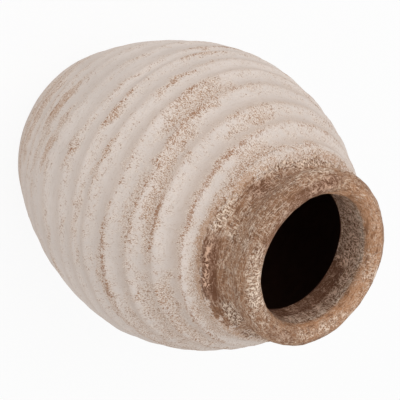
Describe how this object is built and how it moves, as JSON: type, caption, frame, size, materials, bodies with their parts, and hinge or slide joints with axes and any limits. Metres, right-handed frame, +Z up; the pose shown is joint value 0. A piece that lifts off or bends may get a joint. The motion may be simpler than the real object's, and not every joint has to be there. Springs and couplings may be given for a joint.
{
  "type": "terracotta vase",
  "caption": "Ribbed ovoid terracotta vase with finger channels, worn whitewash and a bare brown neck with a thick rolled lip.",
  "frame": {"origin": "centre of the foot, on the surface that the vase stands on", "axes": "+Z up the vase's axis, out of the mouth; X and Y are alike"},
  "size_m": [0.24, 0.24, 0.287],
  "materials": {
    "whitewashed_clay": "chalky whitewash, rubbed off the ridges so that the terracotta shows",
    "brown_clay": "matte brown wash with fine cream specks and brush marks",
    "raw_clay": "bare fired terracotta, fine sandy grain"
  },
  "bodies": {
    "root": {"base_slab": "raw_clay", "base_fillet_coil": "raw_clay", "course_01": "whitewashed_clay", "course_02": "whitewashed_clay", "course_03": "whitewashed_clay", "course_04": "whitewashed_clay", "course_05": "whitewashed_clay", "course_06": "whitewashed_clay", "course_07": "whitewashed_clay", "course_08": "whitewashed_clay", "course_09": "whitewashed_clay", "course_10": "whitewashed_clay", "course_11": "whitewashed_clay", "course_12": "whitewashed_clay", "collar_coil": "brown_clay", "neck_ring": "brown_clay", "lip_coil": "brown_clay"}
  },
  "joints": []
}
